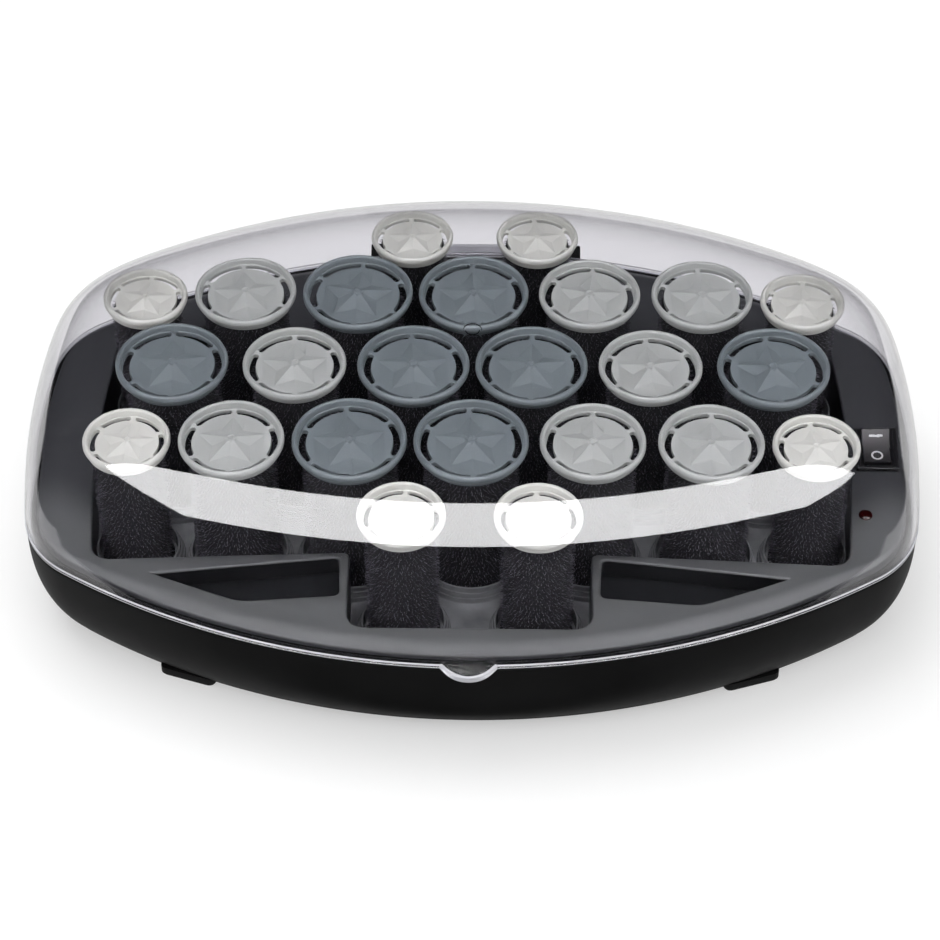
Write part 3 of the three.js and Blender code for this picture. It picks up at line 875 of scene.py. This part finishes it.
def cap_mesh(size, radius):
    """A roller's end cap, its top face at z 0: a rounded ring, six spokes, a disc and a star with a boss."""
    body = Body()
    sides = 120
    lip, slot_width = 2.1, 0.14 * radius
    wall = radius - lip - 0.05
    bore, neck = radius * 0.9, radius * 0.935
    disc_top, disc_low = -CAP_RECESS, -CAP_RECESS - CAP_DISC
    foot = -CAP_FOOT
    inner = [(wall - 0.05, disc_top), (wall + 0.15, disc_top + 0.25), (radius - lip + 0.2, -0.75)]
    inner += [(radius - 1.55, -0.2), (radius - 1.1, 0.0)]
    outer = [(radius - 0.75, -0.08), (radius - 0.25, -0.5), (radius, -1.2), (radius, -CAP_LIP + 1.2)]
    outer += [(radius - 0.3, -CAP_LIP + 0.45), (radius - 1.0, -CAP_LIP), (neck, -CAP_LIP)]
    under = [(neck, foot + 0.3), (neck - 0.2, foot), (bore, foot), (bore, disc_low)]
    rings = [body.ring(circle((0, 0), r, sides), z) for r, z in inner + outer + under]
    body.skin(rings)
    slot_middle = wall - 0.1 - slot_width / 2
    half_slot = slot_width / 2
    half_angle = math.pi / 6 - (0.62 + half_slot) / slot_middle
    upper, lower = [], []
    for k in range(6):
        turn = math.pi / 3 * k + math.pi / 6
        edges = [
            body.ring(slot_outline(slot_middle, half_slot + grow, half_angle, turn), z)
            for grow, z in ((0.0, disc_top), (-0.18, disc_top - 0.2), (-0.2, disc_low))
        ]
        body.skin(edges)
        upper.append(edges[0])
        lower.append(edges[-1])
    # The star relief: rings of the same shape as its outline, rising to a small boss.
    tip, notch, rise, boss = radius * 0.67, radius * 0.37, 0.12 * radius, radius * 0.075
    star = []
    for share in (1.0, 0.97, 0.85, 0.7, 0.55, 0.4, 0.25):
        outline = [polar(share * star_radius(a, tip, notch), a) for a in full_turn(sides)]
        star.append(body.ring(outline, disc_top + rise * (1 - share)))
    boss_z = disc_top + rise
    for scale, up in ((1.25, -0.25), (1.05, -0.22), (1.0, 0.02), (0.78, 0.02), (0.66, -0.3)):
        star.append(body.ring(circle((0, 0), boss * scale, sides), boss_z + up))
    body.skin(star)
    body.fan(star[-1], (0, 0, boss_z - 0.34))
    body.plate(rings[0], [*upper, star[0]])
    body.plate(rings[-1], lower)
    made = make_object(f"cap_{size}", body, [CAPS[size][1]], 40.0)
    weigh_normals(made)
    apply_modifiers(made)
    # The star's facets are flat, so its ridges stay crisp.
    for polygon in made.data.polygons:
        reach = math.hypot(polygon.center.x, polygon.center.y) / MM
        raised = disc_top + 0.02 < polygon.center.z / MM < 0
        if boss * 1.3 < reach < tip and raised and polygon.normal.z > 0.9:
            polygon.use_smooth = False
    mesh = made.data
    bpy.data.objects.remove(made)
    return mesh


def add_hook(body, angle, z, radius, draw):
    """One fibre hook that stands out of a barrel and bends over."""
    lean = draw.uniform(-0.9, 0.9)
    rise = draw.uniform(-0.7, 1.0)
    length = draw.uniform(0.9, 1.7)
    thick = draw.uniform(0.09, 0.14)
    out = Vector((math.cos(angle), math.sin(angle), 0))
    side = Vector((-math.sin(angle), math.cos(angle), 0))
    up = Vector((0, 0, 1))
    root = out * (radius - 0.2) + up * z
    knee = out * (radius + length * 0.75) + side * lean * 0.3 + up * (z + rise * 0.4)
    tip = out * (radius + length * 0.9) + side * lean * 0.95 + up * (z + rise - 0.3)
    rings = []
    for point, size in ((root, thick * 1.1), (knee, thick), (tip, thick * 0.7)):
        rings.append(body.ring([
            point + side * size * math.cos(a) + up * size * math.sin(a) for a in (0.5, 2.6, 4.7)
        ]))
    body.close(rings, 1)


def barrel_mesh(size, radius, length, seed):
    """A roller's barrel from z 0 up: a foot flange, a ribbed sleeve and rows of fibre hooks."""
    body = Body()
    core = radius * BARREL_RATIO - 0.9
    flange = radius * BARREL_RATIO + 0.4
    inner = core - 1.4
    profile = [(inner, 0.0), (flange - 0.3, 0.0), (flange, 0.3), (flange, 1.5)]
    profile += [(flange - 0.3, 1.8), (core, 1.8)]
    rows = int((length - 3.4) / 1.5)
    pitch = (length - 3.4) / rows
    for row in range(rows):
        z = 2.2 + row * pitch
        profile += [(core, z), (core + 0.12, z + pitch * 0.3), (core + 0.12, z + pitch * 0.6)]
    profile += [(core, length - 0.8), (core - 0.4, length), (core * 0.35, length)]
    profile += [(core * 0.35, length - 1.2), (inner, length - 1.2)]
    body.turned(profile, sides=56, closed=True)
    draw = random.Random(seed)
    around = int(2 * math.pi * core / 1.28)
    for row in range(rows):
        for i in range(around):
            angle = 2 * math.pi * (i + 0.5 * (row % 2) + draw.uniform(-0.3, 0.3)) / around
            z = 2.2 + pitch * (row + 0.45 + draw.uniform(-0.3, 0.3))
            add_hook(body, angle, z, core + 0.15, draw)
    made = make_object(f"barrel_{size}", body, [FLOCK, HOOK], 60.0)
    mesh = made.data
    bpy.data.objects.remove(made)
    return mesh


def rollers():
    """Every roller's cap and barrel. Rollers of one size share their meshes, each turned its own way."""
    draw = random.Random(24)
    caps, barrels = {}, {}
    for number in ROLLERS:
        size, radius = roller_size(number)
        cap_node, barrel_node = f"roller_cap_{number}", f"roller_barrel_{number}"
        foot, top = low(barrel_node).z, high(cap_node).z
        if size not in caps:
            caps[size] = cap_mesh(size, radius)
            length = top - CAP_RECESS - CAP_DISC - GAP - foot
            barrels[size] = barrel_mesh(size, radius, length, len(caps))
        center = middle(cap_node)
        turn = math.radians(90 + draw.uniform(-7, 7))
        pieces = (
            (f"cap_{number}", caps[size], top, CAPS[size][0], cap_node),
            (f"barrel_{number}", barrels[size], foot, "flock_black", barrel_node),
        )
        for name, mesh, z, slot, node_name in pieces:
            piece = add_object(name, mesh)
            piece.location = Vector((center.x, center.y, z)) * MM
            piece.rotation_euler.z = turn
            bpy.context.view_layer.update()
            place(piece, f"roller_{number}", slot, node_name)


# --- Heater plate ---
def heater_plate():
    """The well's heated floor, with a stepped seat and a post with a shallow hollow top for each roller."""
    body = Body()
    margin, sides = 4.5, 56
    top_rim = body.ring(well_outline(margin), PLATE_Z)
    bottom_rim = body.ring(well_outline(margin), PLATE_LOW)
    body.bridge(top_rim, bottom_rim)
    holes = []
    for number in ROLLERS:
        _, radius = roller_size(number)
        center = middle(f"roller_cap_{number}")
        seat = radius * BARREL_RATIO + 1.75
        post = radius * 0.6
        profile = [(seat + out, PLATE_Z + up) for out, up in SEAT_STEPS]
        profile += [(post + out, PLATE_Z + up) for out, up in POST_FOOT]
        profile += [(post - inwards, POST_TOP - down) for inwards, down in POST_HEAD]
        profile.append((0, POST_TOP - POST_HEAD[-1][1]))
        holes.append(body.turned(profile, (center.x, center.y), sides)[0])
    body.plate(top_rim, holes)
    body.plate(bottom_rim)
    made = make_object("heater_floor", body, [HEATER])
    weigh_normals(made)
    place(made, "base", "heater_dark", "heater_plate")


# --- Switch, lens and gland ---
def switch():
    top, bottom = high("switch_housing").z, low("switch_housing").z
    size = high("switch_housing") - low("switch_housing")
    seat = DECK_Z + GAP
    body = Body()

    def bezel(grow):
        return rectangle(SWITCH, size.x + 2 * grow, size.y + 2 * grow, 0.9)

    def case(grow):
        return rectangle(SWITCH, 13.0 + 2 * grow, 18.6 + 2 * grow, 0.5)

    def hole(grow):
        return rectangle(SWITCH, 11.3 + 2 * grow, 16.9 + 2 * grow, 0.5)

    outer = stack(body, bezel, [(-inwards, top - down) for inwards, down in edge_steps(0.5)])
    outer += stack(body, bezel, [(0, seat)])
    outer += stack(body, case, ((0, seat), (0, bottom)))
    inner_levels = ((1.3, top), (1.1, top - 0.35), (0.35, top - 0.45), (0, top - 0.8), (0, 40.0))
    inner = stack(body, hole, inner_levels)
    body.skin(outer)
    body.skin(inner)
    body.plate(outer[0], [inner[0]])
    body.plate(outer[-1])
    body.plate(inner[-1])
    made = make_object("switch_frame", body, [SWITCH_BLACK])
    weigh_normals(made)
    place(made, "base", "switch_black", "switch_housing")


def rocker():
    """The paddle, two shallow hollows that meet over the axis, and its I and O marks."""
    width, half, tilt, axis_z = 10.6, 7.7, math.radians(8), 49.4
    body = Body()

    def surface(y):
        return 0.9 + 1.2 * (abs(y) / half) ** 1.6

    def turn(x, y, z):
        return (
            SWITCH.x + x,
            SWITCH.y + y * math.cos(tilt) - z * math.sin(tilt),
            axis_z + y * math.sin(tilt) + z * math.cos(tilt),
        )

    def mark(*lines):
        """A thin printed mark that lies on the paddle: its outline, and that of its hole if it has one."""
        loops = []
        for line in lines:
            loop = []
            for lift in (0.09, -0.15):
                loop.append(body.ring([turn(x, y, surface(y) + lift) for x, y in line]))
            body.bridge(*loop, 1)
            loops.append(loop)
        for level in (0, 1):
            if len(loops) == 1:
                body.face(loops[0][level], 1)
            else:
                body.bridge(loops[0][level], loops[1][level], 1)

    lengthwise = [-half + 2 * half * k / 24 for k in range(25)]
    outline = [(y, surface(y)) for y in lengthwise]
    outline += [(half, 0.4), (4.0, -6.0), (-4.0, -6.0), (-half, 0.4)]
    levels = [(down - width / 2, inwards) for inwards, down in edge_steps(0.35)]
    levels += [(-x, inwards) for x, inwards in reversed(levels)]
    rings = []
    for x, inwards in levels:
        rings.append(body.ring([turn(x, y, z - (inwards if z > 0.5 else 0)) for y, z in outline]))
    body.close(rings)
    mark(rectangle((0, 5.0), 5.2, 0.9, 0.2))
    mark(circle((0, -4.2), 2.35, 32), circle((0, -4.2), 1.65, 32))
    made = make_object("switch_paddle", body, [ROCKER_BLACK_WITH_PAINTED_HIGHLIGHT, MARK_WHITE])
    place(made, "switch_rocker", "rocker_black", "switch_rocker")


def lens():
    body = Body()
    top = DECK_Z + GAP
    dome = (high("indicator_lens").x - low("indicator_lens").x) / 2
    stem = dome - 0.6
    profile = [(0, DECK_Z - 4), (stem, DECK_Z - 4), (stem, top), (dome, top), (dome - 0.05, top + 0.35)]
    for k in range(1, 8):
        a = math.pi / 2 * k / 8
        profile.append(((dome - 0.3) * math.cos(a), top + 0.35 + 1.05 * math.sin(a)))
    profile.append((0, top + 1.4))
    body.turned(profile, (LENS.x, LENS.y), 48)
    made = make_object("lens_dome", body, [LENS_RED])
    place(made, "base", "lens_red", "indicator_lens")


def gland():
    """The rubber sleeve in the back wall: a flange, a groove that grips the wall and a ribbed taper."""
    start, end = low("cord_gland").y, high("cord_gland").y
    flange, wall = 105.6, 108.0
    profile = [(2.6, start), (4.6, start), (5.0, start + 0.5), (5.0, flange), (7.0, flange)]
    profile += [(7.4, flange + 0.5), (7.4, wall - 0.5), (7.0, wall), (4.9, wall)]
    ribs = 5
    for k in range(ribs):
        y = wall + (end - wall) * (k + 0.15) / ribs
        pitch = (end - wall) / ribs
        r = 4.8 - 0.16 * k
        profile += [(r - 0.6, y), (r - 0.6, y + pitch * 0.3), (r, y + pitch * 0.4), (r, y + pitch * 0.75)]
    profile += [(3.6, end - 0.3), (3.3, end), (2.6, end)]
    body = Body()
    body.turned(profile, sides=48, closed=True)
    # The turned profile stands upright; it is laid down so that its height runs along Y.
    body.points = [(x + GLAND.x, z, GLAND.z - y) for x, y, z in body.points]
    made = make_object("gland_sleeve", body, [RUBBER], 30.0)
    place(made, "base", "gland_rubber", "cord_gland")


def carried_over():
    """Better materials on the CAD pieces that keep their shape."""
    for name, finish in (
        ("lid_hinge_pin", STEEL),
        ("heating_element", ELEMENT),
        ("thermostat", THERMOSTAT),
        ("terminal_block", TERMINAL),
    ):
        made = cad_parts[name]
        made.data.materials.clear()
        made.data.materials.append(finish)


# --- Camera, floor and light ---
def camera():
    """Looks down at 45 degrees from the front."""
    elevation, yaw, distance = math.radians(45), math.radians(0.73), 1.08199
    target = Vector((-0.0002, -0.05627, 0.088))
    back = Vector((
        math.sin(yaw) * math.cos(elevation),
        -math.cos(yaw) * math.cos(elevation),
        math.sin(elevation),
    ))
    data = bpy.data.cameras.new("camera")
    data.lens, data.sensor_width = 114.9, 36.0
    data.clip_end = 20.0
    made = add_object("camera", data)
    made.location = target + back * distance
    made.rotation_euler = back.to_track_quat("Z", "Y").to_euler()
    bpy.context.scene.camera = made


def curved_softbox(name, start, end, reach, bow, depth, height, strength):
    """A long softbox over the front whose ends bow forwards. It only shows where it is mirrored."""
    finish, tree, shader = material(name)
    feed(tree, shader, Base_Color=(0, 0, 0, 1), Emission_Color=(1, 1, 1, 1), Emission_Strength=strength)
    body = Body()
    near, away = [], []
    middle_x, half = (start + end) / 2, (end - start) / 2
    for i in range(41):
        x = start + (end - start) * i / 40
        y = reach - bow * ((x - middle_x) / half) ** 2
        near.append((x, y - depth / 2))
        away.append((x, y + depth / 2))
    body.face(body.ring(near + away[::-1], height))
    made = make_object(name, body, [finish])
    made.visible_camera = made.visible_diffuse = made.visible_shadow = False


def area_light(name, location, target, size, power, colour=(1, 1, 1), glossy=True, diffuse=True):
    data = bpy.data.lights.new(name, "AREA")
    data.shape = "RECTANGLE"
    data.size, data.size_y = size
    data.energy = power
    data.color = colour
    made = add_object(name, data)
    made.location = location
    way = Vector(target) - Vector(location)
    made.rotation_euler = way.to_track_quat("-Z", "Y").to_euler()
    made.visible_glossy = glossy
    made.visible_transmission = glossy
    made.visible_diffuse = diffuse
    made.visible_camera = False
    return made


def straight_sight(tree):
    """The light path, and 1 where a surface is seen straight or through clear plastic, otherwise 0."""
    light = tree.nodes.new("ShaderNodeLightPath")
    bounces = math_node(tree, "ADD", light.outputs["Glossy Depth"], light.outputs["Diffuse Depth"])
    return light, math_node(tree, "SUBTRACT", 1.0, bounces)


def floor_paper():
    """Pale paper: white to the horizon, a little grey through the lid, mirrored only from near the set."""
    finish, tree, shader = material("floor_paper")
    light, straight = straight_sight(tree)
    through_lid = light.outputs["Is Transmission Ray"]
    paper = clouds(tree, noise(tree, 3.0, 2.0), grey(0.55), grey(0.57))
    shade = node(tree, "ShaderNodeMixRGB", Fac=through_lid, Color1=paper, Color2=(0.18, 0.178, 0.186, 1))
    away = node(tree, "ShaderNodeVectorMath")
    away.operation = "LENGTH"
    tree.links.new(coordinates(tree), away.inputs[0])
    far = scaled(tree, away.outputs["Value"], 0.0, 0.75, 0.7, 2.2)
    extra = math_node(tree, "MULTIPLY", far, straight)
    level = math_node(tree, "MULTIPLY_ADD", through_lid, 0.42, 0.45)
    feed(
        tree,
        shader,
        Base_Color=shade.outputs["Color"],
        Roughness=0.9,
        Specular_IOR_Level=0.1,
        Emission_Color=(1, 1, 1, 1),
        Emission_Strength=math_node(tree, "ADD", extra, level, clamp=False),
    )
    x, y = axes(tree)
    beside = math_node(tree, "LESS_THAN", math_node(tree, "ABSOLUTE", x), 0.32)
    behind = math_node(tree, "GREATER_THAN", y, -0.105)
    shown = math_node(tree, "MULTIPLY", math_node(tree, "MULTIPLY", beside, behind), 0.85)
    mirrored = math_node(tree, "SUBTRACT", light.outputs["Glossy Depth"], shown)
    mix_surface(tree, mirrored, shader, node(tree, "ShaderNodeBsdfDiffuse", Color=(0, 0, 0, 1)))
    return finish


def studio():
    far = 4500
    body = Body()
    body.face(body.ring([(-far, -far), (far, -far), (far, far), (-far, far)], -0.02))
    make_object("floor", body, [floor_paper()])
    world = bpy.data.worlds.new("studio")
    world.use_nodes = True
    background = world.node_tree.nodes["Background"]
    feed(world.node_tree, background, Color=(1, 1, 1, 1), Strength=straight_sight(world.node_tree)[1])
    bpy.context.scene.world = world
    # The softbox over the front is the white band in the lid's shoulder. It shows only where it is mirrored,
    # and the weak key beside it gives that side's diffuse light.
    curved_softbox("front_softbox", -1800, 2300, -870, 260, 1000, 1300, 8.9)
    area_light("front_key", (0, -0.87, 1.3), (0, -0.87, 0), (3.6, 1.0), 9, glossy=False)
    area_light("back_key", (-0.45, 0.75, 1.9), (0, 0, 0), (1.8, 1.8), 24, glossy=False)
    area_light("overhead", (0, 0, 2.4), (0, 0, 0), (4, 4), 46, glossy=False)
    area_light("left_fill", (-1.9, -0.1, 0.9), (0, 0, 0.05), (1.6, 1.2), 9, glossy=False)
    area_light("right_fill", (1.9, -0.1, 0.9), (0, 0, 0.05), (1.6, 1.2), 9, glossy=False)
    bpy.context.scene.view_settings.view_transform = "Standard"


camera()
lid()
base_shell()
deck()
heater_plate()
rollers()
switch()
rocker()
lens()
gland()
carried_over()
studio()
